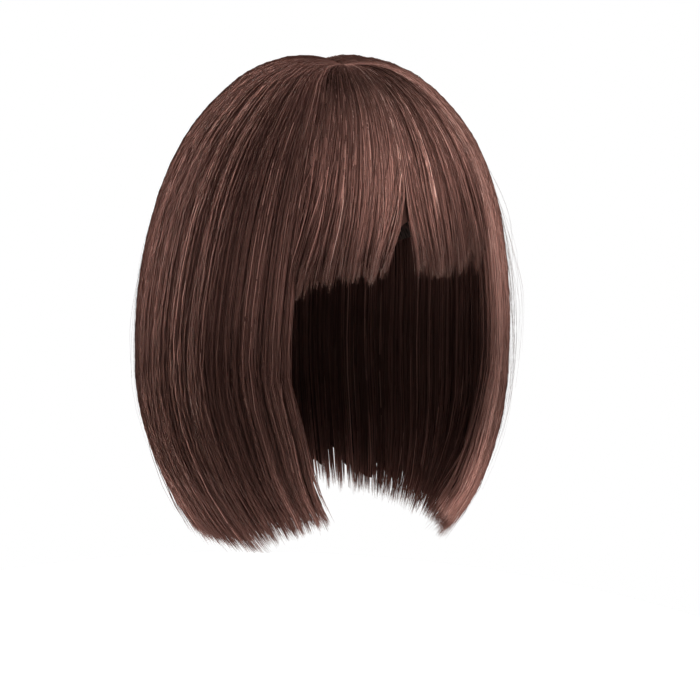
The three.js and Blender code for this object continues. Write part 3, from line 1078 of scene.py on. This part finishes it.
# %% Make the net
CAP_NET = {
    "mesh": 1.8 * MM,
    "row": 9.0 * MM,
    "row_wobble": 0.4,
    "row_sharpness": 6.0,
    "slopes": (45.0, -45.0),
}
NET_FINISH = {"colour": (0.03, 0.02, 0.018), "roughness": 0.8, "specular": 0.1}
NET_SHADES = [
    # place on the ramp, colour
    (0.0, (0.010, 0.0065, 0.0055, 1.0)),
    (0.7, (0.026, 0.017, 0.014, 1.0)),
    (1.0, (0.050, 0.032, 0.027, 1.0)),
]
STITCH_COLOUR = (0.060, 0.030, 0.024, 1.0)
NET_RELIEF = {"strength": 0.6, "height": 0.4 * MM}
# a wave texture of scale 1 repeats after this length
WAVE_STEP = 2 * math.pi / 20


def net_material(name):
    material = plain_material(name, NET_FINISH["colour"], NET_FINISH["roughness"])
    nodes, links = material.node_tree.nodes, material.node_tree.links
    shader = nodes["Principled BSDF"]
    shader.inputs["Specular IOR Level"].default_value = NET_FINISH["specular"]
    place = nodes.new("ShaderNodeTexCoord")
    threads = []
    for slope in CAP_NET["slopes"]:
        turned = nodes.new("ShaderNodeMapping")
        turned.inputs["Rotation"].default_value = (0.0, math.radians(slope), math.radians(slope))
        weave = nodes.new("ShaderNodeTexWave")
        weave.inputs["Scale"].default_value = WAVE_STEP / CAP_NET["mesh"]
        links.new(place.outputs["Object"], turned.inputs["Vector"])
        links.new(turned.outputs["Vector"], weave.inputs["Vector"])
        threads.append(weave)
    net = nodes.new("ShaderNodeMath")
    net.operation = "MAXIMUM"
    links.new(threads[0].outputs["Fac"], net.inputs[0])
    links.new(threads[1].outputs["Fac"], net.inputs[1])
    rows = nodes.new("ShaderNodeTexWave")
    rows.bands_direction = "Z"
    rows.inputs["Scale"].default_value = WAVE_STEP / CAP_NET["row"]
    rows.inputs["Distortion"].default_value = CAP_NET["row_wobble"]
    links.new(place.outputs["Object"], rows.inputs["Vector"])
    stitched = nodes.new("ShaderNodeMath")
    stitched.operation = "POWER"
    stitched.inputs[1].default_value = CAP_NET["row_sharpness"]
    links.new(rows.outputs["Fac"], stitched.inputs[0])
    colour = nodes.new("ShaderNodeValToRGB")
    set_ramp(colour, NET_SHADES)
    links.new(net.outputs["Value"], colour.inputs["Fac"])
    sewn = nodes.new("ShaderNodeMix")
    sewn.data_type = "RGBA"
    sewn.inputs["B"].default_value = STITCH_COLOUR
    links.new(stitched.outputs["Value"], sewn.inputs["Factor"])
    links.new(colour.outputs["Color"], sewn.inputs["A"])
    links.new(sewn.outputs["Result"], shader.inputs["Base Color"])
    raised = nodes.new("ShaderNodeMath")
    raised.operation = "ADD"
    links.new(net.outputs["Value"], raised.inputs[0])
    links.new(stitched.outputs["Value"], raised.inputs[1])
    bump = nodes.new("ShaderNodeBump")
    bump.inputs["Strength"].default_value = NET_RELIEF["strength"]
    bump.inputs["Distance"].default_value = NET_RELIEF["height"]
    links.new(raised.outputs["Value"], bump.inputs["Height"])
    links.new(bump.outputs["Normal"], shader.inputs["Normal"])
    return material


cap_net = net_material("cap_net")
print("material:", cap_net.name)

# %% Make the cap
CAP_INSIDE_GAP = 0.3
CAP_GRID = {"u_segments": 72, "v_segments": 48}
bm = bmesh.new()
bmesh.ops.create_uvsphere(bm, **CAP_GRID, radius=1.0)
whole = bm.verts[:] + bm.edges[:] + bm.faces[:]
bmesh.ops.bisect_plane(bm, geom=whole, plane_co=(0, 0, 0), plane_no=(0, 0, -1), clear_outer=True)
for vert in bm.verts:
    turned = math.atan2(vert.co.x, -vert.co.y)
    share = math.acos(max(-1.0, min(1.0, vert.co.z))) / (math.pi / 2)
    vert.co = cap_point(turned, min(share, 1.0), CAP["wall"])
bmesh.ops.recalc_face_normals(bm, faces=bm.faces)
bmesh.ops.solidify(bm, geom=bm.faces[:], thickness=(CAP["wall"] - CAP_INSIDE_GAP) * MM)
for face in bm.faces:
    face.smooth = True
cap = object_from_bmesh("cap_net", bm, cap_net)
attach(cap, "root")
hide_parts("cap")
print("cap faces", len(cap.data.polygons))

# %% [markdown]
# ## Finish
# The view layer is brought up to date.

# %% Finish
bpy.context.view_layer.update()
